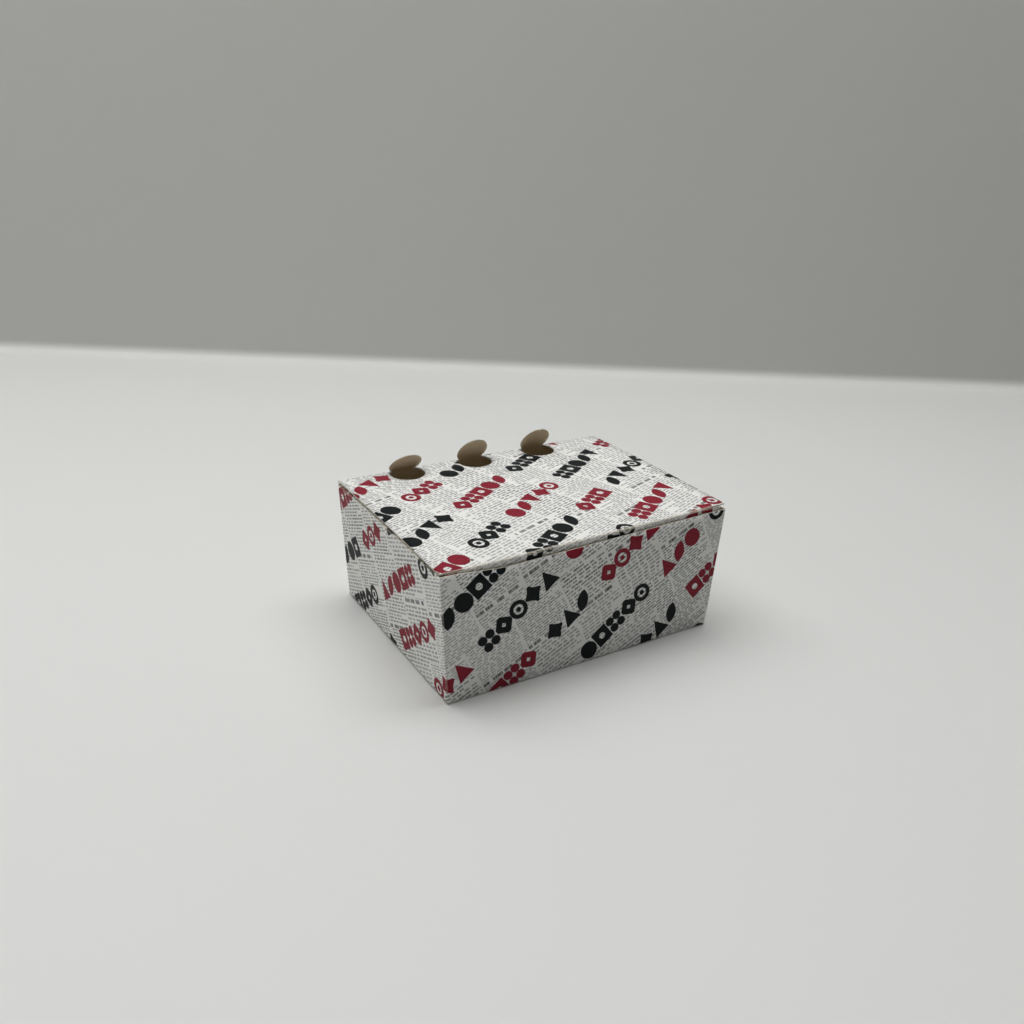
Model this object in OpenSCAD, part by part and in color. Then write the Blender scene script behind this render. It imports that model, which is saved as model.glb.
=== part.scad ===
// Takeaway box: a folding carton with a hinged tuck-top lid and round steam vents.
// Millimetres. The origin is the middle of the base on the table, X runs along the
// front wall, the front wall faces -Y and Z is up. The lid is modelled closed.

/* [Carton] */
// Outside length of the base, along the front wall
base_w = 151; // [110:1:200]
// Outside length across the tops of the leaning side walls
top_w = 159; // [115:1:215]
// Outside depth, from front wall to back wall
depth = 114; // [85:1:150]
// Height of the front and side walls
wall_h = 65; // [45:1:100]
// How much the back wall stands above the side walls, to clear the dust flaps
back_rise = 1; // [0.6:0.1:2]
// How far the front wall's top edge dips below its corners
front_dip = 2.4; // [0.2:0.1:5]
// Distance from the left corner to the lowest point of that dip
dip_run = 34; // [15:1:50]

/* [Board] */
// Thickness of the board
board = 0.6; // [0.4:0.05:0.8]
// Outside radius of a fold
fold_r = 0.9; // [0.85:0.05:1.5]

/* [Dust flaps] */
// How far each dust flap reaches in from its side wall
flap_reach = 26; // [15:1:40]
// Distance from the front face of the box to a dust flap's front end
flap_front = 3; // [2.6:0.1:8]
// Distance from the back face of the box to a dust flap's back end
flap_back = 2; // [1.5:0.1:8]
// How much each end of a dust flap tapers towards its inner edge
flap_taper = 7; // [0:0.5:15]
// Radius of a dust flap's inner corners
flap_corner_r = 6; // [2:0.5:12]

/* [Base flaps] */
// Offset of the long base flaps' meeting line from the middle, each way
seam_offset = 6; // [2:0.5:12]
// Length of the slanted middle of that meeting line
seam_slant = 24; // [10:1:40]
// Width of the gap between the long base flaps
seam_gap = 0.5; // [0.3:0.05:1]
// How far each short base flap reaches in from its side wall
short_reach = 46; // [30:1:54]
// Width of a short base flap at its inner edge
short_inner = 52; // [30:1:70]
// How far a short base flap runs at full width before it tapers
short_shoulder = 8; // [4:1:20]
// Play between a short base flap and the front and back walls
short_play = 1; // [0.5:0.1:3]
// How far a locking tongue reaches past the meeting line
tongue_reach = 16; // [8:1:30]

/* [Glue tab] */
// Width of the glue tab inside the right wall
tab_w = 14; // [8:1:20]
// Distance from the base and from the wall's top to the ends of the glue tab
tab_end = 4; // [2:0.5:10]
// How much each end of the glue tab tapers
tab_taper = 4; // [1:0.5:8]

/* [Vents] */
// Radius of each round vent disc
disc_r = 8.8; // [5:0.1:12]
// Distance from the back fold to a disc's middle
disc_out = 6.2; // [2:0.1:8]
// Lean of the discs over the lid, from upright
disc_lean = 30; // [0:1:45]
// How much further the left disc leans
left_extra_lean = 10; // [-10:1:12]
// Number of vents
vent_count = 3; // [1:1:3]
// Distance from one vent to the next
vent_pitch = 40; // [28:1:46]
// Place of the middle vent along the back fold
vent_mid = -3.5; // [-8:0.5:8]
// Play between a disc and the hole it leaves in the lid
vent_play = 0.4; // [0.3:0.05:1]

/* [Lid] */
// Distance from a side wall's outer top edge to the lid's cut edge
lid_inset = 0.3; // [0.1:0.1:3]
// Play at the back fold, between the lid and the back wall's edge
hinge_play = 0.25; // [0.2:0.05:0.5]
// Play between the tuck flap and the front wall at the fold
tuck_play = 0.3; // [0.25:0.05:1]
// Length of the tuck flap below the front fold
tuck_h = 20; // [10:0.5:24]
// Lean of the tuck flap into the box, which lets it swing past the front wall
tuck_lean = 7; // [6:0.5:12]
// Distance from the lid's cut edge to the side of the tuck flap
tuck_inset = 3; // [3:0.5:8]
// Radius of the tuck flap's lower corners
tuck_corner_r = 9; // [3:0.5:10]
// Length of the slit at each end of the front fold, which locks on a dust flap
slit_len = 12; // [4:0.5:20]
// Width of that slit
slit_w = 0.5; // [0.3:0.05:0.8]

/* [Lid bow] */
// Gap under the lid at its front left corner
gap_left = 0.2; // [0.2:0.1:3]
// Gap under the lid at its front right corner
gap_right = 1.9; // [0.2:0.1:5]
// How late the lid's front edge rises on its way to the right: 1 is a straight rise
rise_power = 1.5; // [1:0.1:3]
// Crown of the lid from its back fold to its front edge
crown = 0.7; // [0:0.1:2]

/* [Hidden] */
$fn = 48;

// Overlap that lets a cutter reach past the face it cuts
past = 1;
// Facets round a vent's disc and hole
vent_facets = 96;

lean = atan((top_w - base_w) / 2 / wall_h);
wall_len = wall_h / cos(lean);
hinge_y = depth / 2 - board / 2;
hinge_z = wall_h + back_rise + board / 2;
lid_w = top_w - 2 * lid_inset;
vent_xs = [for (i = [0 : vent_count - 1]) vent_mid + (i - (vent_count - 1) / 2) * vent_pitch];
inside_y = depth / 2 - board;

printed = [0.80, 0.80, 0.78];
lid_printed = [0.88, 0.88, 0.86];

// A rectangle that ends at x = 0, with the two corners there rounded by r
module side_section(reach, width, r) {
    translate([-reach, -width / 2])
        square([reach - r, width]);
    translate([-reach, r - width / 2])
        square([reach, width - 2 * r]);
    for (side = [-1, 1])
        translate([-r, side * (width / 2 - r)])
            circle(r);
}

// Puts its children in the frame of the right wall: x = 0 is the wall's outer
// face and z runs up the leaning wall
module on_right_wall() {
    translate([base_w / 2, 0, 0])
        rotate([0, lean, 0])
            children();
}

// The space inside the leaning right wall's outer face, taken in by inset on three
// sides. It reaches well past the left wall, above and below.
module right_of_tube(inset) {
    reach = base_w + top_w;
    on_right_wall()
        translate([-inset, 0, -reach])
            linear_extrude(wall_len + 2 * reach)
                side_section(reach, depth - 2 * inset, fold_r - inset);
}

// Everything between the two leaning walls, taken in by inset on all four sides
module tube_form(inset) {
    intersection() {
        right_of_tube(inset);
        mirror([1, 0, 0])
            right_of_tube(inset);
    }
}

// 0 to 1 with a soft start and end
function ease(t) = let (u = min(max(t, 0), 1)) u * u * (3 - 2 * u);

// Distance from the middle to a fold's centre that is z high beside the right wall
function fold_x(z) = base_w / 2 + (z * sin(lean) - fold_r) / cos(lean);

// Front view of the carton: a trapezoid with its four corners folded to fold_r
module front_outline() {
    low = fold_x(fold_r);
    high = fold_x(wall_h - fold_r);
    across = fold_r * cos(lean);
    drop = fold_r * sin(lean);
    right = [
        [low, 0],
        [low + across, fold_r - drop],
        [high + across, wall_h - fold_r - drop],
        [high, wall_h]
    ];
    left = [for (i = [3 : -1 : 0]) [-right[i].x, right[i].y]];
    polygon(concat(right, left));
    for (side = [-1, 1]) {
        translate([side * low, fold_r])
            circle(fold_r);
        translate([side * high, wall_h - fold_r])
            circle(fold_r);
    }
}

// Side view of the carton: upright front and back, with rounded folds at the base
module side_outline() {
    translate([fold_r - depth / 2, 0])
        square([depth - 2 * fold_r, wall_h + past]);
    translate([-depth / 2, fold_r])
        square([depth, wall_h + past - fold_r]);
    for (side = [-1, 1])
        translate([side * (depth / 2 - fold_r), fold_r])
            circle(fold_r);
}

// How far the front wall's top edge lies below its corners at x
function dip_at(x) =
    let (half = fold_x(wall_h))
    front_dip * min(ease((x + half) / dip_run), (half - x) / (2 * half - dip_run));

// Board to take away above the front wall's dipping top edge. It starts a little above
// the corners, so that it leaves them whole.
module front_dip_cut() {
    half = fold_x(wall_h);
    steps = 26;
    above = 0.1;
    low = [for (i = [0 : steps])
        let (x = half * (2 * i / steps - 1))
        [x, wall_h + above - dip_at(x) * (1 + above / front_dip)]];
    translate([0, fold_r + 2 * board - depth / 2, 0])
        rotate([90, 0, 0])
            linear_extrude(fold_r + 2 * board + past)
                polygon(concat(low, [[half, wall_h + past], [-half, wall_h + past]]));
}

module outer_form() {
    intersection() {
        tube_form(0);
        rotate([90, 0, 0])
            linear_extrude(depth + 2 * past, center = true)
                front_outline();
        rotate([90, 0, 90])
            linear_extrude(base_w + top_w, center = true)
                side_outline();
    }
}

// The hollow between the base and the dust flaps
module hollow() {
    intersection() {
        tube_form(board);
        translate([-top_w, -depth, board])
            cube([2 * top_w, 2 * depth, wall_h - 2 * board]);
    }
}

// Plan of the right dust flap: tapered ends and rounded inner corners
module dust_flap_plan() {
    outer = top_w / 2;
    inner = top_w / 2 - flap_reach;
    front = flap_front - depth / 2;
    back = depth / 2 - flap_back;
    r = flap_corner_r;
    slope = atan(flap_taper / flap_reach);
    // Centre of a rounded inner corner, r from the inner edge and from the tapered end
    cx = inner + r;
    end_off = flap_taper - r * tan(slope) + r / cos(slope);
    front_cy = front + end_off;
    back_cy = back - end_off;
    polygon([
        [outer, front],
        [cx - r * sin(slope), front_cy - r * cos(slope)],
        [inner, front_cy],
        [inner, back_cy],
        [cx - r * sin(slope), back_cy + r * cos(slope)],
        [outer, back]
    ]);
    translate([cx, front_cy])
        circle(r);
    translate([cx, back_cy])
        circle(r);
}

// Opening between the walls at the top, with the two dust flaps left in place
module top_opening() {
    intersection() {
        tube_form(board);
        translate([0, 0, wall_h - board - past])
            linear_extrude(board + 2 * past)
                difference() {
                    square([2 * top_w, 2 * inside_y], center = true);
                    dust_flap_plan();
                    mirror([1, 0])
                        dust_flap_plan();
                }
    }
}

// Stepped meeting line of the two long base flaps, seen from above
module base_seam() {
    reach = fold_x(fold_r);
    half = seam_slant / 2;
    mid = [[-reach, seam_offset], [-half, seam_offset], [half, -seam_offset], [reach, -seam_offset]];
    low = [for (p = mid) [p.x, p.y - seam_gap / 2]];
    high = [for (i = [3 : -1 : 0]) [mid[i].x, mid[i].y + seam_gap / 2]];
    translate([0, 0, -past])
        linear_extrude(board + past)
            polygon(concat(low, high));
}

// Second layer of the base: two short flaps and the two tongues that lock it
module inner_base() {
    wide = inside_y - short_play;
    edge = base_w / 2 - board / 2;
    translate([0, 0, board])
        linear_extrude(board) {
            for (side = [0, 1])
                mirror([side, 0])
                    polygon([
                        [edge, -wide],
                        [edge, wide],
                        [edge - short_shoulder, wide],
                        [edge - short_reach, short_inner / 2],
                        [edge - short_reach, -short_inner / 2],
                        [edge - short_shoulder, -wide]
                    ]);
            for (turn = [0, 180])
                rotate(turn)
                    polygon([
                        [short_reach - edge, -tongue_reach],
                        [0, -tongue_reach],
                        [seam_slant / 2, seam_offset],
                        [short_reach - edge, seam_offset + 2 * seam_gap]
                    ]);
        }
}

// Glue tab on the inside of the right wall, folded from the back wall
module glue_tab() {
    // How far the tab's root reaches into the back wall
    tab_root = board / 3;
    on_right_wall()
        translate([-board, inside_y, 0])
            rotate([90, 0, -90])
                linear_extrude(board)
                    polygon([
                        [-tab_root, tab_end],
                        [0, tab_end],
                        [tab_w, tab_end + tab_taper],
                        [tab_w, wall_len - tab_end - tab_taper],
                        [0, wall_len - tab_end],
                        [-tab_root, wall_len - tab_end]
                    ]);
}

// Vent disc, cut from the lid and left standing on the back wall
module vent_disc(x) {
    root = sqrt(disc_r * disc_r - disc_out * disc_out);
    turn = 90 + disc_lean + (x == vent_xs[0] ? left_extra_lean : 0);
    // The crease bulges a little beyond the board's two faces
    bead_r = board * 0.56;
    translate([x, hinge_y, hinge_z])
        rotate([turn, 0, 0])
            translate([0, 0, -board / 2])
                linear_extrude(board)
                    intersection() {
                        translate([0, disc_out])
                            circle(disc_r, $fn = vent_facets);
                        translate([-disc_r - past, 0])
                            square([2 * disc_r + 2 * past, disc_out + disc_r + past]);
                    }
    translate([x, hinge_y, hinge_z])
        rotate([0, 90, 0])
            cylinder(r = bead_r, h = 2 * root, center = true);
    translate([x - root, inside_y, wall_h - past])
        cube([2 * root, board, hinge_z - wall_h + past]);
}

// Upper strip of the back wall, up to the lid's fold and just short of the corners
module back_riser() {
    low = wall_h - 2 * fold_r;
    high = hinge_z - board / 2 - hinge_play;
    half = fold_x(low) - board / 2;
    translate([-half, inside_y, low])
        cube([2 * half, board, high - low]);
}

module carton_body() {
    color(printed) {
        difference() {
            outer_form();
            hollow();
            top_opening();
            front_dip_cut();
            base_seam();
        }
        inner_base();
        glue_tab();
        back_riser();
        for (x = vent_xs)
            vent_disc(x);
    }
}

// Gap between the side walls' tops and the lid's underside along the front fold
function front_gap(x) =
    gap_left + (gap_right - gap_left) * pow(max(x / lid_w + 0.5, 0), rise_power);

// Middle of the lid's front fold
front_fold_y = board + tuck_play + fold_r - depth / 2;
lid_run = hinge_y - front_fold_y;

// Middle height of the lid panel, s = 0 at the back fold and 1 at the front fold
function panel_z(x, s) =
    hinge_z
    + s * (wall_h + front_gap(x) + board / 2 - hinge_z)
    + crown * sin(180 * s);

knuckle_steps = 6;
panel_steps = 8;
fold_steps = 5;
lid_columns = 18;

// Section of the lid at x: back knuckle, panel top, front fold, tuck flap and back
function lid_section(x) =
    let (
        half = board / 2,
        top_front = wall_h + front_gap(x) + board,
        fold_z = top_front - fold_r,
        knuckle = [for (i = [0 : knuckle_steps])
            let (a = -90 + 180 * i / knuckle_steps)
            [hinge_y + half * cos(a), hinge_z + half * sin(a)]],
        top = [for (i = [1 : panel_steps - 1])
            let (s = i / panel_steps)
            [hinge_y - s * lid_run, panel_z(x, s) + half]],
        outer_fold = [for (i = [0 : fold_steps])
            let (a = 90 + (90 + tuck_lean) * i / fold_steps)
            [front_fold_y + fold_r * cos(a), fold_z + fold_r * sin(a)]],
        tip = outer_fold[fold_steps] + tuck_h * [sin(tuck_lean), -cos(tuck_lean)],
        inner_tip = tip + board * [cos(tuck_lean), sin(tuck_lean)],
        inner_fold = [for (i = [fold_steps : -1 : 0])
            let (a = 90 + (90 + tuck_lean) * i / fold_steps, r = fold_r - board)
            [front_fold_y + r * cos(a), fold_z + r * sin(a)]],
        under = [for (i = [panel_steps - 1 : -1 : 1])
            let (s = i / panel_steps)
            [hinge_y - s * lid_run, panel_z(x, s) - half]]
    )
    concat(knuckle, top, outer_fold, [tip, inner_tip], inner_fold, under);

// Bowed lid and tuck flap, lofted through sections from left to right
module lid_sheet() {
    sections = [for (i = [0 : lid_columns])
        let (x = lid_w * (i / lid_columns - 0.5))
        [for (p = lid_section(x)) [x, p.x, p.y]]];
    n = len(sections[0]);
    points = [for (s = sections) for (p = s) p];
    sides = [for (i = [0 : lid_columns - 1]) for (j = [0 : n - 1])
        let (a = i * n + j, b = i * n + (j + 1) % n)
        each [[a, a + n, b], [b, a + n, b + n]]];
    // Each end is closed by the knuckle's half round and by a strip of triangles
    // between each point of the printed side and the one behind it
    knuckle_end = [for (j = [1 : knuckle_steps - 1]) [0, j, j + 1]];
    strip_end = [for (j = [knuckle_steps : fold_steps + panel_steps + knuckle_steps])
        let (a = (n + knuckle_steps - j) % n, b = n + knuckle_steps - j - 1)
        each [[a, j, j + 1], [a, j + 1, b]]];
    left_end = concat(knuckle_end, strip_end);
    right_end = [for (t = left_end) [for (j = [2 : -1 : 0]) lid_columns * n + t[j]]];
    polyhedron(points, concat(sides, left_end, right_end));
}

// Square corner less its rounding, for cutting a lower corner of the tuck flap
module corner_cut(r) {
    difference() {
        translate([-past, -past])
            square([r + past, r + past]);
        translate([r, r])
            circle(r);
    }
}

// Board to take away beside and below the tuck flap and in its locking slit, on the
// side given by -1 or 1
module tuck_trim(side) {
    edge = lid_w / 2 - tuck_inset;
    under_z = wall_h + front_gap(side * lid_w / 2);
    step_z = under_z + board - fold_r;
    tip_z = wall_h + front_gap(side * edge) + board - fold_r - tuck_h * cos(tuck_lean);
    flip = side > 0 ? 0 : 1;
    mirror([flip, 0, 0])
        translate([0, tuck_h - depth / 2, 0])
            rotate([90, 0, 0])
                linear_extrude(tuck_h) {
                    translate([edge, tip_z - 2 * past])
                        square([tuck_inset + past, step_z - tip_z + 2 * past]);
                    translate([edge, tip_z])
                        mirror([1, 0])
                            corner_cut(tuck_corner_r);
                    translate([lid_w / 2 - slit_len, under_z - slit_w])
                        square([slit_len + past, slit_w]);
                }
}

module lid() {
    hole_h = 2 * (board + crown + back_rise);
    color(lid_printed)
        difference() {
            lid_sheet();
            for (x = vent_xs)
                translate([x, hinge_y - disc_out, hinge_z])
                    cylinder(r = disc_r + vent_play, h = hole_h, center = true, $fn = vent_facets);
            tuck_trim(-1);
            tuck_trim(1);
        }
}

carton_body();
lid();
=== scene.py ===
import bpy
import bmesh
from math import sin, cos, tan, atan, atan2, sqrt, pi, radians
from mathutils import Matrix, Vector


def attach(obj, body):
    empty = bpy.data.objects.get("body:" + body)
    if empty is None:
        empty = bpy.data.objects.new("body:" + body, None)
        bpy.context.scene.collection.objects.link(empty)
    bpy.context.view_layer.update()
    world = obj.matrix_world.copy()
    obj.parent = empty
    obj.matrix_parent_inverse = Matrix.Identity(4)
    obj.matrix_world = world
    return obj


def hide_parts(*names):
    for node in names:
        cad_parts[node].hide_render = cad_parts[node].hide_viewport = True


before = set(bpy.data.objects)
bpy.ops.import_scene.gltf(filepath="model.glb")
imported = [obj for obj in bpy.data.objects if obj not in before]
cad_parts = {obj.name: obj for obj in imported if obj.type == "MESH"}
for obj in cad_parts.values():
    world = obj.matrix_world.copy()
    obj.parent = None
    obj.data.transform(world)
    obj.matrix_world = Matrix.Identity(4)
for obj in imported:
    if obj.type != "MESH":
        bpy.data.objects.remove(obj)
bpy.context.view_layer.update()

# Camera. It stands a little under half a metre off, above the table and to the left of the
# box, turned to see the front wall, the left wall and the lid.
photo_camera = bpy.data.cameras.new("photo_camera")
photo_camera.lens = 33.51
photo_camera.sensor_width = 36
photo_camera.clip_start = 0.01
photo_camera.clip_end = 20
camera = bpy.data.objects.new("photo_camera", photo_camera)
bpy.context.scene.collection.objects.link(camera)
standpoint = Vector((-0.239658, -0.368813, 0.253265))
right_of_view = Vector((0.856734, -0.514525, 0.035646))
up_of_view = Vector((0.183093, 0.368025, 0.911611))
back_of_view = Vector((-0.482165, -0.774482, 0.409506))
turned_to_box = Matrix((right_of_view, up_of_view, back_of_view)).transposed().to_4x4()
camera.matrix_world = Matrix.Translation(standpoint) @ turned_to_box
bpy.context.scene.camera = camera

# Table and backdrop. A pale satin table top that sweeps up into a grey backdrop behind
# the box, square to the line of sight.
view_along = Vector((0.5285, 0.8489, 0.0))
across_view = Vector((view_along.y, -view_along.x, 0.0))
floor_start, half_width = -2.2, 2.5
sweep_start, sweep_radius, sweep_steps = 0.446, 0.011, 8
wall_height = 1.6
table_colour, backdrop_colour = (0.735, 0.74, 0.72, 1), (0.60, 0.605, 0.575, 1)
# The seam colour is a painted highlight: a paler band where the table turns up into the backdrop.
seam_highlight_colour, seam_height, seam_end = (0.87, 0.875, 0.85, 1), 0.0025, 0.012

sweep = bmesh.new()
profile_points = [(floor_start, 0.0), (sweep_start, 0.0)]
for i in range(1, sweep_steps + 1):
    a = i / sweep_steps * pi / 2
    profile_points.append((sweep_start + sweep_radius * sin(a), sweep_radius * (1 - cos(a))))
profile_points.append((sweep_start + sweep_radius, wall_height))
bmesh.ops.create_grid(sweep, x_segments=len(profile_points) - 1, y_segments=1, size=1.0)
for v in sweep.verts:
    i = round((v.co.x + 1) / 2 * (len(profile_points) - 1))
    along, up = profile_points[i]
    v.co = view_along * along + across_view * (v.co.y * half_width) + Vector((0, 0, up))
bmesh.ops.recalc_face_normals(sweep, faces=sweep.faces[:])
for f in sweep.faces:
    f.smooth = True
sweep_mesh = bpy.data.meshes.new("table_and_backdrop")
sweep.to_mesh(sweep_mesh)
sweep.free()
table_top = bpy.data.objects.new("table_and_backdrop", sweep_mesh)
bpy.context.scene.collection.objects.link(table_top)

table_finish = bpy.data.materials.new("pale_table_and_grey_backdrop")
table_finish.use_nodes = True
nodes = table_finish.node_tree.nodes
links = table_finish.node_tree.links
shader = nodes["Principled BSDF"]
shader.inputs["Roughness"].default_value = 0.55
shader.inputs["Specular IOR Level"].default_value = 0.3
where = nodes.new("ShaderNodeTexCoord")
height = nodes.new("ShaderNodeSeparateXYZ")
links.new(where.outputs["Object"], height.inputs[0])
by_height = nodes.new("ShaderNodeValToRGB")
by_height.color_ramp.elements[0].position = 0.0
by_height.color_ramp.elements[0].color = table_colour
by_height.color_ramp.elements[1].position = seam_end
by_height.color_ramp.elements[1].color = backdrop_colour
# Painted highlight: a paler band low on the sweep's curve, between the table and the backdrop.
painted_seam_highlight = by_height.color_ramp.elements.new(seam_height)
painted_seam_highlight.color = seam_highlight_colour
links.new(height.outputs["Z"], by_height.inputs["Fac"])
links.new(by_height.outputs["Color"], shader.inputs["Base Color"])
table_top.data.materials.append(table_finish)

# Light. One broad soft box overhead and a little behind the box, a weak broad one far to
# the left and a dim even sky: the lid is brightest, then the left wall, then the front.
box_middle = Vector((0, 0, 0.03))


def hang_light(name, width, length, watts, place):
    """A soft light box hung at a place and turned to the middle of the takeaway box."""
    lamp = bpy.data.lights.new(name, "AREA")
    lamp.shape = "RECTANGLE"
    lamp.size = width
    lamp.size_y = length
    lamp.energy = watts
    hung = bpy.data.objects.new(name, lamp)
    hung.location = place
    hung.rotation_mode = "QUATERNION"
    hung.rotation_quaternion = (box_middle - Vector(place)).to_track_quat("-Z", "Y")
    bpy.context.scene.collection.objects.link(hung)


hang_light("soft_box", 1.9, 1.9, 45, (0.2, 0.58, 1.0))
hang_light("side_box", 1.4, 1.0, 2.9, (-1.6, 0.3, 0.6))
sky = bpy.data.worlds.new("dim_sky")
bpy.context.scene.world = sky
sky.use_nodes = True
nodes = sky.node_tree.nodes
links = sky.node_tree.links
sky_light = nodes["Background"]
sky_light.inputs["Color"].default_value = (0.95, 0.98, 1.0, 1)
sky_light.inputs["Strength"].default_value = 0.06

# Beyond the table the camera and the reflections see an even grey room
grey_room = nodes.new("ShaderNodeBackground")
grey_room.inputs["Color"].default_value = (0.34, 0.345, 0.33, 1)
ray = nodes.new("ShaderNodeLightPath")
seen = ray.outputs["Is Camera Ray"]
for also in ("Is Glossy Ray", "Is Transmission Ray"):
    either = nodes.new("ShaderNodeMath")
    either.operation = "MAXIMUM"
    links.new(seen, either.inputs[0])
    links.new(ray.outputs[also], either.inputs[1])
    seen = either.outputs[0]
room_or_light = nodes.new("ShaderNodeMixShader")
links.new(seen, room_or_light.inputs[0])
links.new(sky_light.outputs[0], room_or_light.inputs[1])
links.new(grey_room.outputs[0], room_or_light.inputs[2])
links.new(room_or_light.outputs[0], nodes["World Output"].inputs["Surface"])

# Printed side of the board. A coated white sheet, printed flat before it is folded, with
# small grey dashes in columns and bold diagonal rows of simple shapes in red and black.
printed = bpy.data.materials.new("printed_coated_side")
printed.use_nodes = True
nodes = printed.node_tree.nodes
links = printed.node_tree.links


def num(op, *given):
    """One Math node of the print, fed by sockets or plain numbers."""
    n = nodes.new("ShaderNodeMath")
    n.operation = op
    for i, g in enumerate(given):
        if isinstance(g, (int, float)):
            n.inputs[i].default_value = g
        else:
            links.new(g, n.inputs[i])
    return n.outputs[0]


def chance(*given):
    """A number from 0 to 1 that is the same wherever the given numbers are the same. A plain
    number among them only keeps one use apart from the others."""
    n = nodes.new("ShaderNodeTexWhiteNoise")
    n.noise_dimensions = "3D"
    joined = nodes.new("ShaderNodeCombineXYZ")
    for i, g in enumerate(given):
        if isinstance(g, (int, float)):
            joined.inputs[i].default_value = g
        else:
            links.new(g, joined.inputs[i])
    links.new(joined.outputs[0], n.inputs["Vector"])
    return n.outputs["Value"]


def within(value, low, high, soft):
    """1 where value lies between low and high, with edges that fade over soft. A low or high
    of None leaves that side open."""
    if low is None or high is None:
        rise = num("SUBTRACT", value, low) if high is None else num("SUBTRACT", high, value)
        one_side = num("MULTIPLY_ADD", rise, 1 / soft, 0.5)
        one_side.node.use_clamp = True
        return one_side
    up = num("MULTIPLY_ADD", num("SUBTRACT", value, low), 1 / soft, 0.5)
    down = num("MULTIPLY_ADD", num("SUBTRACT", high, value), 1 / soft, 0.5)
    both = nodes.new("ShaderNodeMath")
    both.operation = "MINIMUM"
    both.use_clamp = True
    links.new(up, both.inputs[0])
    links.new(down, both.inputs[1])
    return both.outputs[0]


sheet_place = nodes.new("ShaderNodeUVMap")
sheet_place.uv_map = "flat_sheet"
apart = nodes.new("ShaderNodeSeparateXYZ")
links.new(sheet_place.outputs["UV"], apart.inputs[0])
sheet_u = apart.outputs["X"]
sheet_v = apart.outputs["Y"]


def turned(angle):
    """The sheet's place along and across a direction at this angle, in millimetres."""
    c, s = cos(radians(angle)), sin(radians(angle))
    along = num("ADD", num("MULTIPLY", sheet_u, c), num("MULTIPLY", sheet_v, s))
    across = num("SUBTRACT", num("MULTIPLY", sheet_v, c), num("MULTIPLY", sheet_u, s))
    return along, across


# Small print: columns 27 mm wide at 26 degrees, shifted from one section of the sheet to
# the next, with lines of dashes 1.2 to 2 mm apart, some dark and some faint, and a taller
# heading line over many blocks.
column_w, block_h, section_h, column_margin = 27.0, 36.0, 52.0, 0.7
least_pitch, pitch_play, dash_pitch, speck_w = 1.2, 0.8, 3.9, 0.38
along, across = turned(26)
section = num("FLOOR", num("DIVIDE", across, section_h))
along = num("ADD", along, num("MULTIPLY", chance(section, 8.3, 1.9), column_w))
column = num("FLOOR", num("DIVIDE", along, column_w))
in_column = num("SUBTRACT", along, num("MULTIPLY", column, column_w))
down_column = num("ADD", across, num("MULTIPLY", chance(column, 3.1, 0.7), 160.0))
block = num("FLOOR", num("DIVIDE", down_column, block_h))
in_block = num("SUBTRACT", down_column, num("MULTIPLY", block, block_h))
block_kind = chance(column, block, 5.3)
line_pitch = num("MULTIPLY_ADD", chance(block, column, 2.2), pitch_play, least_pitch)
line = num("FLOOR", num("DIVIDE", in_block, line_pitch))
in_line = num("SUBTRACT", num("DIVIDE", in_block, line_pitch), line)
line_chance = chance(column, block, line)
shifted = num("ADD", in_column, num("MULTIPLY", line_chance, 7.0))
dash = num("FLOOR", num("DIVIDE", shifted, dash_pitch))
in_dash = num("SUBTRACT", num("DIVIDE", shifted, dash_pitch), dash)
dash_length = num("MULTIPLY_ADD", chance(dash, line, column), 0.4, 0.6)
dash_ink = within(in_dash, 0.03, dash_length, 0.05)
speck = num("FLOOR", num("DIVIDE", shifted, speck_w))
speck_ink = num("MULTIPLY_ADD", chance(speck, line, block), 0.55, 0.45)
line_end = num("MULTIPLY_ADD", num("POWER", line_chance, 5.0), -11.0, column_w - 0.5)
line_ink = num("MULTIPLY", within(in_line, 0.18, 0.71, 0.18),
               within(in_column, column_margin, line_end, 0.2))
line_weight = num("MULTIPLY", num("MULTIPLY_ADD", chance(block, line, column), 0.3, 0.74),
                  num("MULTIPLY_ADD", chance(column, block, 7.7), 0.3, 0.7))
small_print = num("MULTIPLY", num("MULTIPLY", line_ink, dash_ink),
                  num("MULTIPLY", speck_ink, line_weight))

heading_pitch, heading_speck_w, heading_end = 6.4, 0.55, 3.0
heading_shift = num("ADD", in_column, num("MULTIPLY", block_kind, 9.0))
heading_dash = num("FLOOR", num("DIVIDE", heading_shift, heading_pitch))
in_heading_dash = num("SUBTRACT", num("DIVIDE", heading_shift, heading_pitch), heading_dash)
heading_length = num("MULTIPLY_ADD", chance(heading_dash, column, block), 0.35, 0.6)
heading_speck = num("FLOOR", num("DIVIDE", heading_shift, heading_speck_w))
heading_ink = num("MULTIPLY", within(in_block, 0.6, 2.5, 0.3),
                  within(in_heading_dash, 0.04, heading_length, 0.04))
heading_ink = num("MULTIPLY", heading_ink,
                  within(in_column, column_margin, column_w - heading_end, 0.2))
heading_ink = num("MULTIPLY", heading_ink,
                  num("MULTIPLY_ADD", chance(heading_speck, column, block), 0.4, 0.5))
is_heading = num("MULTIPLY", num("LESS_THAN", in_block, heading_end), num("LESS_THAN", block_kind, 0.6))
small_print = num("ADD", num("MULTIPLY", small_print, num("SUBTRACT", 1.0, is_heading)),
                  num("MULTIPLY", heading_ink, is_heading))

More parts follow.
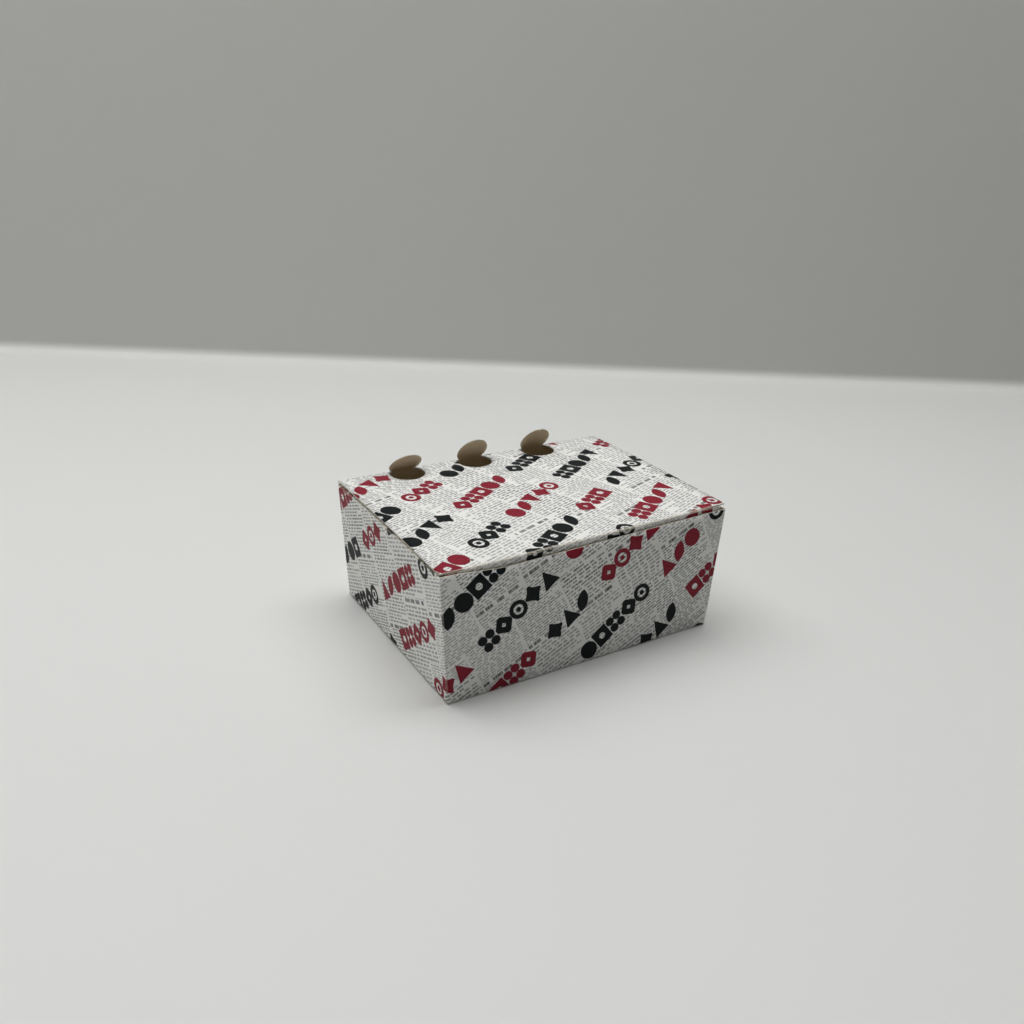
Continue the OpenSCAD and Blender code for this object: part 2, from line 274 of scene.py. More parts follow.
# Bold rows: a band 10.2 mm high every 26 mm at 39.5 degrees. Five, three and five shapes
# follow each other with gaps between, in red and black by turns.
row_pitch, band_h, cell_w, gap_cells = 26.0, 10.2, 9.5, 0.9
long_run, short_run = 5, 3
band_start, row_start, row_shift = 6.0, 7.0, 6.45
period = 2 * long_run + short_run + 3 * gap_cells
along, across = turned(39.5)
shifted_across = num("ADD", across, row_start)
row = num("FLOOR", num("DIVIDE", shifted_across, row_pitch))
in_row = num("SUBTRACT", shifted_across, num("MULTIPLY", row, row_pitch))
cells_along = num("ADD", num("DIVIDE", along, cell_w), num("MULTIPLY", row, row_shift))
turn_count = num("FLOOR", num("DIVIDE", cells_along, period))
in_period = num("SUBTRACT", cells_along, num("MULTIPLY", turn_count, period))
past_first = num("GREATER_THAN", in_period, long_run + gap_cells / 2)
past_second = num("GREATER_THAN", in_period, long_run + short_run + 1.5 * gap_cells)
group = num("ADD", past_first, past_second)
group_start = num("ADD", num("MULTIPLY", past_first, long_run + gap_cells),
                  num("MULTIPLY", past_second, short_run + gap_cells))
in_group = num("SUBTRACT", in_period, group_start)
group_cells = num("MULTIPLY_ADD", num("COMPARE", group, 1.0, 0.1), short_run - long_run, long_run)
in_shapes = num("MULTIPLY", num("GREATER_THAN", in_group, 0.0), num("LESS_THAN", in_group, group_cells))
cell = num("FLOOR", in_group)
cell_x = num("MULTIPLY", num("SUBTRACT", num("SUBTRACT", in_group, cell), 0.5), cell_w / 4.65)
cell_y = num("DIVIDE", num("SUBTRACT", in_row, band_h / 2 + band_start), band_h / 2)
all_groups = num("ADD", num("MULTIPLY", turn_count, 3.0), group)
kind_sum = num("ADD", num("ADD", num("MULTIPLY", cell, 3.0), num("MULTIPLY", row, 5.0)),
               num("MULTIPLY", all_groups, 2.0))
kind = num("FLOORED_MODULO", kind_sum, 8.0)
is_red = num("FLOORED_MODULO", num("ADD", all_groups, row), 2.0)


def away(x, y):
    """How far a place lies from a middle."""
    return num("SQRT", num("ADD", num("MULTIPLY", x, x), num("MULTIPLY", y, y)))


far_x = num("ABSOLUTE", cell_x)
far_y = num("ABSOLUTE", cell_y)
reach = away(cell_x, cell_y)
in_box = num("MULTIPLY", num("LESS_THAN", far_x, 0.97), num("LESS_THAN", far_y, 1.0))
edge = 0.05
disc_shape = within(reach, None, 1.0, edge)
diamond_shape = within(num("ADD", far_x, far_y), 0.27, 1.2, edge)
triangle_side = num("ADD", num("MULTIPLY", far_x, 2.0), cell_y)
triangle_shape = num("MULTIPLY", in_box, within(triangle_side, None, 1.0, edge))
nut_shape = num("MULTIPLY", in_box, within(reach, 0.36, None, edge))
ring_shape = num("MAXIMUM", within(reach, 0.54, 1.0, edge), within(reach, None, 0.27, edge))
leaf_off, leaf_r = 0.55, 1.42
upper_bow = within(away(num("ADD", cell_x, leaf_off), num("ADD", cell_y, -leaf_off)), None, leaf_r, edge)
lower_bow = within(away(num("ADD", cell_x, -leaf_off), num("ADD", cell_y, leaf_off)), None, leaf_r, edge)
leaf_shape = num("MULTIPLY", in_box, num("MINIMUM", upper_bow, lower_bow))
dot_off = dot_r = 0.5
dots_reach = away(num("SUBTRACT", far_x, dot_off), num("SUBTRACT", far_y, dot_off))
dots_shape = within(dots_reach, None, dot_r, edge)
star_shape = within(num("ADD", num("POWER", far_x, 0.7), num("POWER", far_y, 0.7)), None, 1.24, edge)
shapes = (disc_shape, diamond_shape, triangle_shape, nut_shape,
          ring_shape, leaf_shape, dots_shape, star_shape)
bold_shape = 0.0
for i, shape in enumerate(shapes):
    bold_shape = num("ADD", bold_shape, num("MULTIPLY", shape, num("COMPARE", kind, float(i), 0.1)))
bold_shape = num("MULTIPLY", bold_shape, num("MULTIPLY", in_shapes, num("LESS_THAN", far_y, 1.02)))


def blended(amount, first, second):
    """A colour between two, by amount; each is a socket or a plain colour."""
    n = nodes.new("ShaderNodeMix")
    n.data_type = "RGBA"
    links.new(amount, n.inputs["Factor"])
    for slot_name, given in (("A", first), ("B", second)):
        socket = [s for s in n.inputs if s.name == slot_name and s.type == "RGBA"][0]
        if isinstance(given, tuple):
            socket.default_value = given + (1,)
        else:
            links.new(given, socket)
    return [s for s in n.outputs if s.type == "RGBA"][0]


def grain(place, scale, detail, roughness=0.5, dimensions="3D"):
    """A cloudy grain over a place, from 0 to 1."""
    n = nodes.new("ShaderNodeTexNoise")
    n.noise_dimensions = dimensions
    n.inputs["Scale"].default_value = scale
    n.inputs["Detail"].default_value = detail
    n.inputs["Roughness"].default_value = roughness
    links.new(place, n.inputs["Vector"])
    return n.outputs["Fac"]


dull_white, clean_white = (0.80, 0.795, 0.765), (0.86, 0.855, 0.83)
red, red_over_grey = (0.25, 0.017, 0.033), (0.13, 0.009, 0.017)
black, grey = (0.006, 0.0085, 0.009), (0.02, 0.022, 0.023)
cracked_coat = (0.60, 0.56, 0.46)
on_sheet_place = sheet_place.outputs["UV"]
white_ground = blended(grain(on_sheet_place, 0.05, 3.0, dimensions="2D"), dull_white, clean_white)
red_ink = blended(num("MULTIPLY", small_print, 0.55), red, red_over_grey)
bold_colour = blended(is_red, black, red_ink)
with_small = blended(small_print, white_ground, grey)
with_bold = blended(bold_shape, with_small, bold_colour)

# Along the creases the ink and the coating crack, and pale fibre shows through
crease_wear = nodes.new("ShaderNodeAttribute")
crease_wear.attribute_name = "crease_wear"
cracked = num("MULTIPLY_ADD", grain(on_sheet_place, 1.3, 4.0, 0.7, "2D"), 4.0, -1.35)
cracked.node.use_clamp = True
worn = num("MULTIPLY", num("MULTIPLY", cracked, crease_wear.outputs["Fac"]), 0.85)
with_wear = blended(worn, with_bold, cracked_coat)


def relief(height, strength):
    """A relief of two tenths of a millimetre at most, for a shader's Normal."""
    bump = nodes.new("ShaderNodeBump")
    bump.inputs["Strength"].default_value = strength
    bump.inputs["Distance"].default_value = 0.0002
    links.new(height, bump.inputs["Height"])
    return bump.outputs["Normal"]


def piece_place():
    """The place on the piece itself, in metres."""
    return nodes.new("ShaderNodeTexCoord").outputs["Object"]


# The coating is satin, with a very fine grain from the board under it
coat_grain = grain(piece_place(), 1400, 3.0)
shader = nodes["Principled BSDF"]
links.new(with_wear, shader.inputs["Base Color"])
links.new(relief(coat_grain, 0.06), shader.inputs["Normal"])
links.new(num("MULTIPLY_ADD", coat_grain, 0.12, 0.42), shader.inputs["Roughness"])
shader.inputs["Specular IOR Level"].default_value = 0.08

# Inside of the board. Bare recycled fibre, left uncoated and unprinted: brown, flecked and
# a little cloudy, with a soft rough face.
inside = bpy.data.materials.new("bare_fibre_side")
inside.use_nodes = True
nodes = inside.node_tree.nodes
links = inside.node_tree.links
dark_fibre, pale_fibre, cloud_fibre = (0.44, 0.35, 0.235), (0.56, 0.485, 0.365), (0.50, 0.39, 0.255)
fleck = grain(piece_place(), 900, 5.0, 0.7)
cloud = grain(piece_place(), 60, 3.0)
fibre = blended(num("MULTIPLY_ADD", fleck, 2.2, -0.6), dark_fibre, pale_fibre)
clouded = blended(num("MULTIPLY", cloud, 0.35), fibre, cloud_fibre)
shader = nodes["Principled BSDF"]
links.new(clouded, shader.inputs["Base Color"])
links.new(relief(fleck, 0.25), shader.inputs["Normal"])
shader.inputs["Roughness"].default_value = 0.85
shader.inputs["Specular IOR Level"].default_value = 0.2

# The board is thin enough for a little light to pass through it into the closed box
shader.inputs["Subsurface Weight"].default_value = 0.5
shader.inputs["Subsurface Radius"].default_value = (1.0, 0.97, 0.92)
shader.inputs["Subsurface Scale"].default_value = 0.0018

# Cut edge of the board. The steel rule of the die presses through the sheet and leaves
# pale layers of fibre showing.
cut_edge = bpy.data.materials.new("die_cut_edge")
cut_edge.use_nodes = True
nodes = cut_edge.node_tree.nodes
links = cut_edge.node_tree.links
pressed_fibre, torn_fibre = (0.46, 0.425, 0.345), (0.66, 0.625, 0.54)
layers = grain(piece_place(), 1500, 4.0)
shader = nodes["Principled BSDF"]
edge_colour = blended(num("MULTIPLY_ADD", layers, 2.0, -0.5), pressed_fibre, torn_fibre)
links.new(edge_colour, shader.inputs["Base Color"])
links.new(relief(layers, 0.3), shader.inputs["Normal"])
shader.inputs["Roughness"].default_value = 0.9
shader.inputs["Specular IOR Level"].default_value = 0.15

# Carton walls. One strip of 0.6 mm board, creased at the corners: glue tab, back, left,
# front and right wall in turn. The side walls lean out and the tab is glued inside.
board, fold_r = 0.6, 0.9
base_w, top_w, depth, wall_h = 151.0, 159.0, 114.0, 65.0
half_flat, near_fold, wall_rows = 78.6, 78.2, 15
end_below, corner_below = 0.25, 0.12
lean = atan((top_w - base_w) / 2 / wall_h)
front_dip, dip_run = 2.4, 34.0
side_bulge, front_bulge, back_bulge = 0.07, 0.035, 0.1
tab_w, tab_low, tab_high, tab_taper, glue_line = 14.0, 4.0, 61.0, 4.0, 0.04
hinge_y, hinge_z = 56.7, 66.3
under_lid = hinge_z - board / 2 - 0.03
fold_wear = 0.45
carton_sheet = bmesh.new()
flat_sheet = carton_sheet.loops.layers.uv.new("flat_sheet")
on_crease = carton_sheet.verts.layers.float.new("crease_wear")


def ease(t):
    """0 to 1 with a soft start and end."""
    u = min(max(t, 0), 1)
    return u * u * (3 - 2 * u)


def wall_x(z):
    """Distance of a side wall's outer face from the middle at height z."""
    return base_w / 2 + z * tan(lean)


def turn_about(x, y, angle):
    """A point of the flat sheet turned about its origin."""
    return x * cos(angle) - y * sin(angle), x * sin(angle) + y * cos(angle)


def left_on_sheet(back_from_front, up):
    """Where the left wall's point lies on the flat sheet, with the front wall upright."""
    x, y = turn_about(-back_from_front, up, lean)
    return x - base_w / 2, y


def right_on_sheet(back_from_front, up):
    """Where the right wall's point lies on the flat sheet."""
    x, y = turn_about(back_from_front, up, -lean)
    return x + base_w / 2, y


def back_on_sheet(x, up):
    """Where the back wall's and the lid's point lies on the flat sheet."""
    corner = left_on_sheet(depth, 0)
    u, v = turn_about(-x - base_w / 2, up, 2 * lean)
    return u + corner[0], v + corner[1]


def lay(columns, rows, place, creased=None):
    """Lays a patch of columns by rows and folds it: place gives each corner's point in
    millimetres and its place on the flat sheet, creased tells which corners are on a fold."""
    grid = bmesh.ops.create_grid(carton_sheet, x_segments=columns - 1, y_segments=rows - 1, size=1.0)
    made = grid["verts"]
    on_sheet = {}
    for v in made:
        i = round((v.co.x + 1) / 2 * (columns - 1))
        j = round((v.co.y + 1) / 2 * (rows - 1))
        point, on_sheet[v] = place(i, j)
        v.co = Vector(point) / 1000
        v[on_crease] = fold_wear if creased and creased(i, j) else 0.0
    for f in {f for v in made for f in v.link_faces}:
        f.smooth = True
        for loop in f.loops:
            loop[flat_sheet].uv = on_sheet[loop.vert]


def spread(start, end, count):
    """Even steps from start to end, both included."""
    return [start + (end - start) * i / count for i in range(count + 1)]


disc_r, disc_out = 8.8, 6.2
disc_root = sqrt(disc_r ** 2 - disc_out ** 2)
vent_xs = (-43.5, -3.5, 36.5)
flap_front_y, flap_back_y = -54.0, 55.0
disc_steps = 8
back_xs = [half_flat, near_fold, 74, 68, 61, 54, 48]
for vent_x in reversed(vent_xs):
    back_xs += spread(vent_x + disc_root, vent_x - disc_root, disc_steps)
    if vent_x != vent_xs[0]:
        back_xs += [vent_x - disc_root - past for past in (5, 13, 21)]
back_xs += [-55, -62, -69, -75, -near_fold, -half_flat]
front_xs = spread(-half_flat, -45, 10) + spread(-45, half_flat, 24)[1:]
side_ys = [56.1, 55.3, flap_back_y] + spread(50, -50, 20) + [flap_front_y, -54.3, -56.1]
right_wall_end = 56.5
corner_steps = 5

stations = [("tab", d) for d in (tab_w, 10, 6, 3, 0)]
stations += [("tab_fold", i / corner_steps) for i in range(corner_steps - 1, 0, -1)]
stations += [("back", x) for x in back_xs]
stations += [("back_left", i / corner_steps) for i in range(1, corner_steps)]
stations += [("left", y) for y in side_ys]
stations += [("front_left", i / corner_steps) for i in range(1, corner_steps)]
stations += [("front", x) for x in front_xs]
stations += [("front_right", i / corner_steps) for i in range(1, corner_steps)]
stations += [("right", y) for y in reversed(side_ys)]


def front_top(x):
    """Height of the front wall's cut edge, which dips between its corners."""
    down = ease((x + half_flat) / dip_run)
    up = (half_flat - x) / (2 * half_flat - dip_run)
    return wall_h - front_dip * min(down, up)


def wall_limits(side, place):
    """Lowest and highest point of the wall strip at a station."""
    side_low = fold_r + board - fold_r * sin(lean)
    fold_start = wall_h - fold_r - fold_r * sin(lean)
    if side == "tab":
        return tab_low + tab_taper * place / tab_w, tab_high - tab_taper * place / tab_w
    if side == "tab_fold":
        return (tab_low, tab_high) if place > 0.5 else (fold_r, wall_h)
    if side == "back":
        return fold_r, under_lid if abs(place) <= near_fold else wall_h
    if side == "front":
        return fold_r, front_top(place)
    if side in ("left", "right"):
        creased = flap_front_y <= place <= flap_back_y
        return side_low, fold_start if creased else wall_h - end_below
    towards_side = place if side in ("back_left", "front_right") else 1 - place
    return fold_r + (side_low - fold_r) * towards_side, wall_h - corner_below


def wall_point(i, j):
    """A point of the wall strip at a station i, in row j from the bottom."""
    side, place = stations[i]
    low, high = wall_limits(side, place)
    z = low + (high - low) * j / (wall_rows - 1)
    x_out = wall_x(z)
    in_y = depth / 2 - fold_r
    turn = pi / 2 * place
    bowed = sin(pi * min(z / wall_h, 1))
    side_bow = side_bulge * bowed * (1 - (place / (depth / 2)) ** 2)
    flat = place / half_flat
    up = z / cos(lean)
    if side == "tab":
        x, y = x_out - board - glue_line, in_y - place
        on_sheet = back_on_sheet(x_out + place + 1, z)
    elif side == "tab_fold":
        x = x_out - board - fold_r + (fold_r - glue_line) * sin(turn)
        y = in_y + fold_r * cos(turn)
        on_sheet = back_on_sheet(x_out - fold_r + turn * fold_r, z)
    elif side == "back":
        x = flat * (x_out - fold_r) if place < 0 else flat * (x_out - fold_r - board)
        if z > wall_h - 1:
            x = place if place < near_fold else min(place, x)
        y = depth / 2 - back_bulge * bowed * (1 - flat * flat)
        on_sheet = back_on_sheet(x, z)
    elif side == "back_left":
        x = -(x_out - fold_r + fold_r * sin(turn))
        y = in_y + fold_r * cos(turn)
        on_sheet = back_on_sheet(x, z)
    elif side == "left":
        x, y = -x_out - side_bow, place
        on_sheet = left_on_sheet(place + depth / 2, up)
    elif side == "front_left":
        x = -(x_out - fold_r + fold_r * cos(turn))
        y = -in_y - fold_r * sin(turn)
        on_sheet = (x, z)
    elif side == "front":
        x = flat * (x_out - fold_r)
        y = -depth / 2 - front_bulge * bowed * (1 - flat * flat)
        on_sheet = (x, z)
    elif side == "front_right":
        x = x_out - fold_r + fold_r * sin(turn)
        y = -in_y - fold_r * cos(turn)
        on_sheet = (x, z)
    else:
        x, y = x_out + side_bow, place if place < side_ys[0] else right_wall_end
        on_sheet = right_on_sheet(place + depth / 2, up)
    return (x, y, z), on_sheet


lay(len(stations), wall_rows, wall_point, lambda i, j: "_" in stations[i][0])

# Base flaps. The short side flaps fold in first; the long flaps close over them from
# below and meet along a stepped line, so their outer faces stand on the table.
seam_offset, seam_slant, seam_gap = 6.0, 24.0, 0.5
short_reach, short_inner = 46.0, 52.0
short_half, short_taper = 55.2, 8.0
fold_rows, flap_rows = 6, 10
flap_ease, narrowing = 2.0, 0.3


def seam_y(x):
    """The long flaps' meeting line, seen from above."""
    half = seam_slant / 2
    return seam_offset * (1 if x < -half else -1 if x > half else -x / half)


def long_flap(side, xs):
    """The rows and the point function of a long flap, folded under its wall."""
    facing = -1 if side == "front" else 1
    rows = fold_rows + flap_rows

    def point(i, j):
        flat = xs[i] / half_flat
        reach = base_w / 2 + fold_r * tan(lean) - fold_r
        if side == "front" or flat < 0:
            x = flat * reach
        else:
            x = flat * (reach - board)
        y_fold = facing * (depth / 2 - fold_r)
        if j <= fold_rows:
            a = pi / 2 * j / fold_rows
            y = y_fold + facing * fold_r * cos(a)
            z = fold_r - fold_r * sin(a)
            run = fold_r * a
        else:
            t = (j - fold_rows) / (rows - 1 - fold_rows)
            y_end = seam_y(x) + facing * seam_gap / 2
            y = y_fold + (y_end - y_fold) * t
            z = 0.0
            run = fold_r * pi / 2 + abs(y - y_fold)
            x -= flat * min(flap_ease, run * narrowing)
        on_sheet = (x, fold_r - run) if side == "front" else back_on_sheet(x, fold_r - run)
        return (x, y, z), on_sheet

    return rows, point


for side, xs in (("front", front_xs), ("back", back_xs)):
    rows, point = long_flap(side, xs)
    lay(len(xs), rows, point, lambda i, j: 0 < j < fold_rows)

fold_x_low = wall_x(fold_r + board) - fold_r / cos(lean)


def short_flap(facing, ys):
    """The rows and the point function of a short flap, which narrows to its inner end."""
    rows = fold_rows + flap_rows
    end_x = base_w / 2 - board / 2
    at_fold = max(ys)

    def point(i, j):
        y = ys[i]
        if j <= fold_rows:
            a = lean + (pi / 2 - lean) * j / fold_rows
            x = fold_x_low + fold_r * cos(a)
            z = fold_r + board - fold_r * sin(a)
            run = fold_r * (a - lean)
            wide = at_fold
        else:
            t = (j - fold_rows) / (rows - 1 - fold_rows)
            x = fold_x_low + (end_x - short_reach - fold_x_low) * t
            z = board
            run = fold_r * (pi / 2 - lean) + fold_x_low - x
            narrowed = min((x - end_x + short_reach) / (short_reach - short_taper), 1)
            wide = short_inner / 2 + (short_half - short_inner / 2) * narrowed
            wide = min(wide, at_fold - narrowing * run)
            y = ys[i] / at_fold * wide
        out = left_on_sheet if facing < 0 else right_on_sheet
        on_sheet = out(y + depth / 2, -run)
        return (facing * x, y, z), on_sheet

    return rows, point


for facing in (-1, 1):
    rows, point = short_flap(facing, side_ys if facing < 0 else list(reversed(side_ys)))
    lay(len(side_ys), rows, point, lambda i, j: 0 < j < fold_rows)

# Dust flaps. Each side wall's top folds in to a narrow flap with tapered ends and
# rounded corners, which lies under the lid.
flap_reach, flap_taper, flap_corner_r = 26.0, 7.0, 6.0
flap_ys = [y for y in side_ys if flap_front_y <= y <= flap_back_y]
fold_x_high = wall_x(wall_h - fold_r) - fold_r / cos(lean)
flap_inner = top_w / 2 - flap_reach


def flap_end(x):
    """How far a dust flap's end is cut back at a distance x from the middle."""
    slope = atan(flap_taper / flap_reach)
    corner_x = flap_inner + flap_corner_r
    straight = (top_w / 2 - x) * tan(slope)
    if x > corner_x - flap_corner_r * sin(slope):
        return straight
    corner_back = flap_taper - flap_corner_r * tan(slope) + flap_corner_r / cos(slope)
    return corner_back - sqrt(max(flap_corner_r ** 2 - (x - corner_x) ** 2, 0))


def dust_flap(facing, ys):
    """The rows and the point function of a dust flap, folded in from a side wall's top."""
    bends = spread(0, 1, fold_rows)
    ins = spread(0, 0.72, 6)[1:] + [0.78, 0.84, 0.89, 0.93, 0.96, 0.98, 0.993, 1.0]

    def point(i, j):
        mid = (flap_front_y + flap_back_y) / 2
        half = (flap_back_y - flap_front_y) / 2
        if j < len(bends):
            a = -lean + (pi / 2 + lean) * bends[j]
            x = fold_x_high + fold_r * cos(a)
            z = wall_h - fold_r + fold_r * sin(a)
            run = fold_r * (a + lean)
            cut = 0
        else:
            t = ins[j - len(bends)]
            x = fold_x_high + (flap_inner - fold_x_high) * t
            z = wall_h
            run = fold_r * (pi / 2 + lean) + fold_x_high - x
            cut = flap_end(x)
        y = mid + (ys[i] - mid) / half * (half - cut)
        out = left_on_sheet if facing < 0 else right_on_sheet
        on_sheet = out(y + depth / 2, wall_h / cos(lean) - fold_r + run)
        return (facing * x, y, z), on_sheet

    return len(bends) + len(ins), point


for facing in (-1, 1):
    rows, point = dust_flap(facing, flap_ys if facing < 0 else list(reversed(flap_ys)))
    lay(len(flap_ys), rows, point, lambda i, j: 0 < j < fold_rows)

# Vent discs. Three round pieces cut from the lid stay on the back wall and lean forward
# over their holes, so the bare inner side of the board faces the front.
disc_leans, bend_r = (40, 30, 30), 1.1


def vent_disc(number):
    """The columns, rows and point function of one vent disc, bent forward at its root."""
    middle, disc_lean = vent_xs[number], radians(disc_leans[number])
    low = under_lid - hinge_z
    heights = [low, low / 2, 0.0, 0.25, 0.5, 0.8, 1.2]
    heights += [disc_out + disc_r * sin(a) for a in spread(-0.5, pi / 2, 26)]

    def point(i, j):
        h = heights[j]
        half = sqrt(max(disc_r ** 2 - (max(h, 0) - disc_out) ** 2, 0))
        x = middle + half * (1 - 2 * i / disc_steps)
        bent = min(max(h, 0) / bend_r, disc_lean)
        past_bend = max(h - bend_r * disc_lean, 0)
        y = depth / 2 - bend_r * (1 - cos(bent)) - past_bend * sin(disc_lean)
        z = hinge_z + min(h, 0) + bend_r * sin(bent) + past_bend * cos(disc_lean)
        return (x, y, z), back_on_sheet(x, hinge_z + h)

    return disc_steps + 1, len(heights), point


for number in range(3):
    columns, rows, point = vent_disc(number)
    lay(columns, rows, point)

bmesh.ops.remove_doubles(carton_sheet, verts=carton_sheet.verts[:], dist=0.00003)
bmesh.ops.recalc_face_normals(carton_sheet, faces=carton_sheet.faces[:])


def finish_sheet(sheet, name, body, node):
    """Turns a folded sheet into a piece: 0.6 mm of board inwards from the printed side."""
    mesh = bpy.data.meshes.new(name)
    sheet.to_mesh(mesh)
    sheet.free()
    piece = bpy.data.objects.new(name, mesh)
    bpy.context.scene.collection.objects.link(piece)
    for finish in (printed, inside, cut_edge):
        mesh.materials.append(finish)
    thickness = piece.modifiers.new("board_thickness", "SOLIDIFY")
    thickness.thickness = board / 1000
    thickness.offset = -1
    thickness.use_even_offset = True
    thickness.use_rim = True
    thickness.material_offset = 1
    thickness.material_offset_rim = 2
    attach(piece, body)
    if node:
        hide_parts(node)


finish_sheet(carton_sheet, "carton_sheet", "carton", "carton_body")

# Lock tongues. Two pieces of the base lie flat on its inside, across the long flaps'
# meeting line, and hold the base shut. They meet each other along a slanting cut.
tongue_reach, tongue_half_w, tongue_gap = 16.0, 29.0, 0.5
slant_x, slant_y, tongue_on_sheet = 5.2, 6.4, -90
tongues = bmesh.new()
tongue_uv = tongues.loops.layers.uv.new("flat_sheet")
for turned_round in (1, -1):
    corners = [(-tongue_half_w, -tongue_reach), (0, -tongue_reach), (slant_x, -slant_y),
               (-slant_x, slant_y), (-tongue_half_w, seam_offset + 1)]
    ring = [Vector((turned_round * (x - tongue_gap / 2), turned_round * y, board)) / 1000
            for x, y in corners]
    face = tongues.faces.new([tongues.verts.new(corner) for corner in ring])
    face.normal_update()
    if face.normal.z > 0:
        face.normal_flip()
    for loop in face.loops:
        loop[tongue_uv].uv = (loop.vert.co.x * 1000, loop.vert.co.y * 1000 + tongue_on_sheet)
finish_sheet(tongues, "lock_tongues", "carton", None)

# Lid. A panel of the same sheet, creased along the back wall's top, with three round
# holes at that crease, a front fold and a tuck flap that slips inside the front wall.
lid_w, gap_left, gap_right, rise_power, crown = 158.4, 0.2, 1.9, 1.5, 0.7
tuck_play, tuck_h, tuck_lean, tuck_inset, tuck_corner_r = 0.3, 20.0, radians(7), 3.0, 9.0
slit_len, slit_w, slit_past_fold, vent_play = 12.0, 0.5, 0.35, 0.4
hole_steps, tuck_corner_steps = 60, 10
panel_rows, panel_columns, fold_cuts = 26, 30, 8
before_fold, crease_edge = 0.7, 0.1
front_fold_y = board + tuck_play + fold_r - depth / 2
lid_run = hinge_y - front_fold_y
fold_run = fold_r * (pi / 2 + tuck_lean)
lid_length = lid_run + fold_run + tuck_h
hole_r = disc_r + vent_play


def front_gap(x):
    """Gap between the side walls' tops and the lid along its front fold."""
    return gap_left + (gap_right - gap_left) * max(x / lid_w + 0.5, 0) ** rise_power


def lid_top(x, s):
    """Height of the lid's printed face, s = 0 at the back crease and 1 at the front."""
    rest_z = hinge_z + s * (wall_h + front_gap(x) + board / 2 - hinge_z)
    return rest_z + crown * sin(pi * s) + board / 2


half_lid, half_tuck = lid_w / 2, lid_w / 2 - tuck_inset
slit_near = lid_run + slit_past_fold
outline = [(half_lid, 0)]
for vent_x in reversed(vent_xs):
    start = atan2(-disc_out, sqrt(hole_r ** 2 - disc_out ** 2))
    for a in spread(start, pi - start, hole_steps):
        outline.append((vent_x + hole_r * cos(a), disc_out + hole_r * sin(a)))
outline += [(-half_lid, 0), (-half_lid, slit_near), (-half_lid + slit_len, slit_near)]
outline += [(-half_lid + slit_len, slit_near + slit_w), (-half_tuck, slit_near + slit_w)]
outline += [(-half_tuck + tuck_corner_r * (1 - cos(a)), lid_length - tuck_corner_r * (1 - sin(a)))
            for a in spread(0, pi / 2, tuck_corner_steps)]
outline += [(half_tuck - tuck_corner_r * (1 - sin(a)), lid_length - tuck_corner_r * (1 - cos(a)))
            for a in spread(0, pi / 2, tuck_corner_steps)]
outline += [(half_tuck, slit_near + slit_w), (half_lid - slit_len, slit_near + slit_w)]
outline += [(half_lid - slit_len, slit_near), (half_lid, slit_near)]

lid_sheet = bmesh.new()
lid_uv = lid_sheet.loops.layers.uv.new("flat_sheet")
lid_crease = lid_sheet.verts.layers.float.new("crease_wear")
lid_sheet.faces.new([lid_sheet.verts.new((x, s, 0)) for x, s in outline])
cuts = spread(0, lid_run, panel_rows)[1:] + [lid_run - before_fold]
cuts += [lid_run + fold_run * t for t in spread(0, 1, fold_cuts)[1:]]
cuts += [lid_run + fold_run + tuck_h * t for t in (0.25, 0.5, 0.75)]
cut_planes = [((0, s, 0), (0, 1, 0)) for s in cuts]
cut_planes += [((x, 0, 0), (1, 0, 0)) for x in spread(-half_lid, half_lid, panel_columns)[1:-1]]
for through, square_to in cut_planes:
    bmesh.ops.bisect_plane(lid_sheet, geom=lid_sheet.verts[:] + lid_sheet.edges[:] + lid_sheet.faces[:],
                           dist=1e-5, plane_co=through, plane_no=square_to)


def folded_lid(x, s):
    """A point of the flat lid, folded: panel, front fold and tuck flap."""
    if s <= lid_run:
        return x, hinge_y - s, lid_top(x, s / lid_run)
    turn = min((s - lid_run) / fold_r, pi / 2 + tuck_lean)
    y = front_fold_y - fold_r * sin(turn)
    z = lid_top(x, 1) - fold_r + fold_r * cos(turn)
    past_fold = max(s - lid_run - fold_run, 0)
    return x, y + past_fold * sin(tuck_lean), z - past_fold * cos(tuck_lean)


for f in lid_sheet.faces:
    f.smooth = True
    for loop in f.loops:
        loop[lid_uv].uv = back_on_sheet(loop.vert.co.x, hinge_z + loop.vert.co.y)
for v in lid_sheet.verts:
    v[lid_crease] = 1.0 if -crease_edge < v.co.y - lid_run < fold_run - crease_edge else 0.0
    v.co = Vector(folded_lid(v.co.x, v.co.y)) / 1000
lid_sheet.normal_update()
up_faces = sum(f.normal.z * f.calc_area() for f in lid_sheet.faces)
if up_faces < 0:
    bmesh.ops.reverse_faces(lid_sheet, faces=lid_sheet.faces[:])
finish_sheet(lid_sheet, "lid_sheet", "lid", "lid")

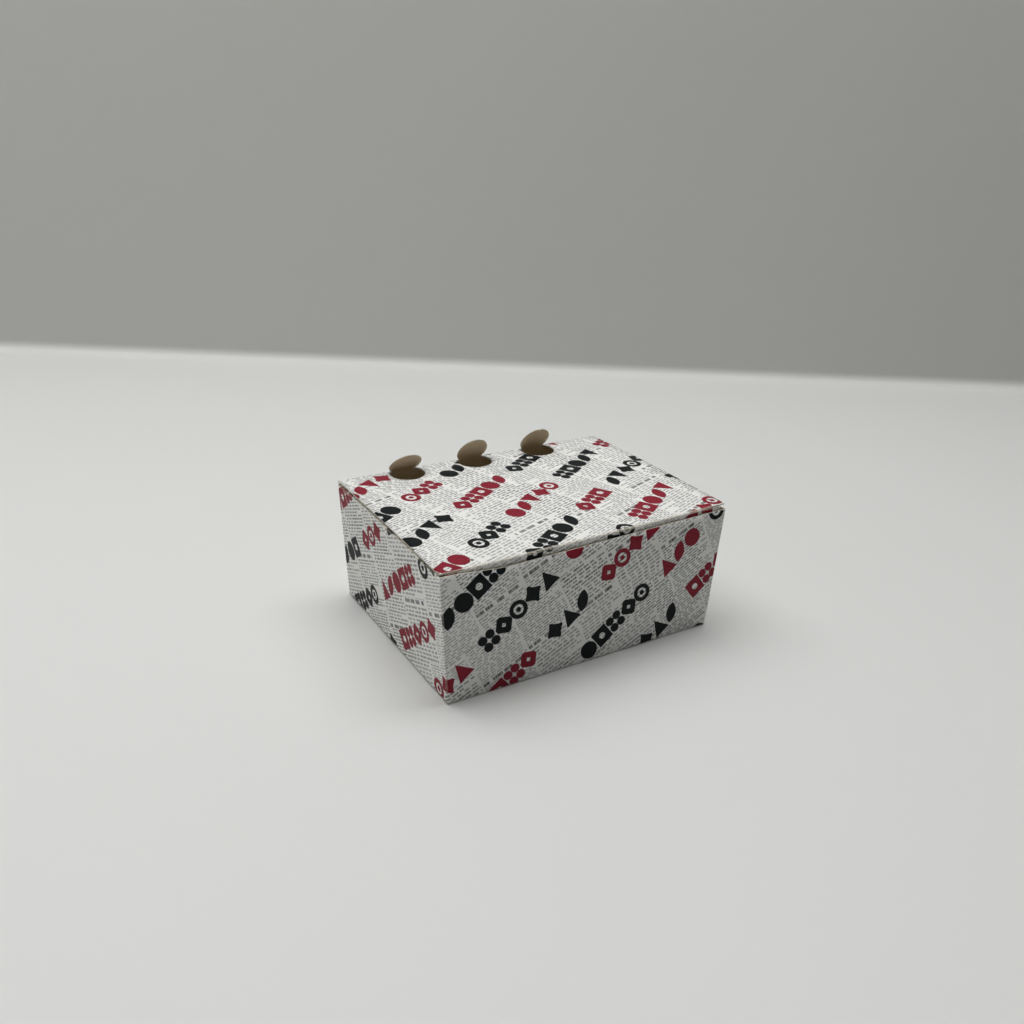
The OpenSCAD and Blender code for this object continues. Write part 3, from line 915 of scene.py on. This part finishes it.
# Back crease of the lid. The same board rolls round the fold between the vent holes: printed
# round the outside and pale fibre at the ends, where the holes cut through it.
crease_step, crease_sides = 6, 16
crease = bmesh.new()
crease_uv = crease.loops.layers.uv.new("flat_sheet")
hole_half = sqrt(hole_r ** 2 - disc_out ** 2)
stretch_ends = [-half_lid]
for vent_x in vent_xs:
    stretch_ends += [vent_x - hole_half, vent_x + hole_half]
stretch_ends.append(half_lid)
for i in range(0, len(stretch_ends), 2):
    start, end = stretch_ends[i], stretch_ends[i + 1]
    steps = max(2, int((end - start) / crease_step))
    hinge_point = Matrix.Translation(Vector((start, hinge_y, hinge_z)) / 1000)
    at_start = hinge_point @ Matrix.Rotation(pi / 2, 4, "Y")
    ring = bmesh.ops.create_circle(crease, cap_ends=True, segments=crease_sides,
                                   radius=board / 2 / 1000, matrix=at_start)
    cap = ring["verts"][0].link_faces[0]
    for step in range(steps):
        grown = bmesh.ops.extrude_face_region(crease, geom=[cap])["geom"]
        moved = [g for g in grown if isinstance(g, bmesh.types.BMVert)]
        bmesh.ops.translate(crease, verts=moved, vec=((end - start) / steps / 1000, 0, 0))
        old_cap, cap = cap, [g for g in grown if isinstance(g, bmesh.types.BMFace)][0]
        if step > 0:
            bmesh.ops.delete(crease, geom=[old_cap], context="FACES_ONLY")
bmesh.ops.recalc_face_normals(crease, faces=crease.faces[:])
for f in crease.faces:
    f.smooth = len(f.verts) == 4
    f.material_index = 0 if len(f.verts) == 4 else 1
    for loop in f.loops:
        x, y, z = loop.vert.co * 1000
        around = atan2(z - hinge_z, y - hinge_y)
        loop[crease_uv].uv = back_on_sheet(x, hinge_z - (pi / 2 - around) * board / 2)
crease_mesh = bpy.data.meshes.new("lid_back_crease")
crease.to_mesh(crease_mesh)
crease.free()
crease_piece = bpy.data.objects.new("lid_back_crease", crease_mesh)
bpy.context.scene.collection.objects.link(crease_piece)
for finish in (printed, cut_edge):
    crease_mesh.materials.append(finish)
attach(crease_piece, "lid")

bpy.context.scene.view_settings.view_transform = "Standard"
bpy.context.view_layer.update()
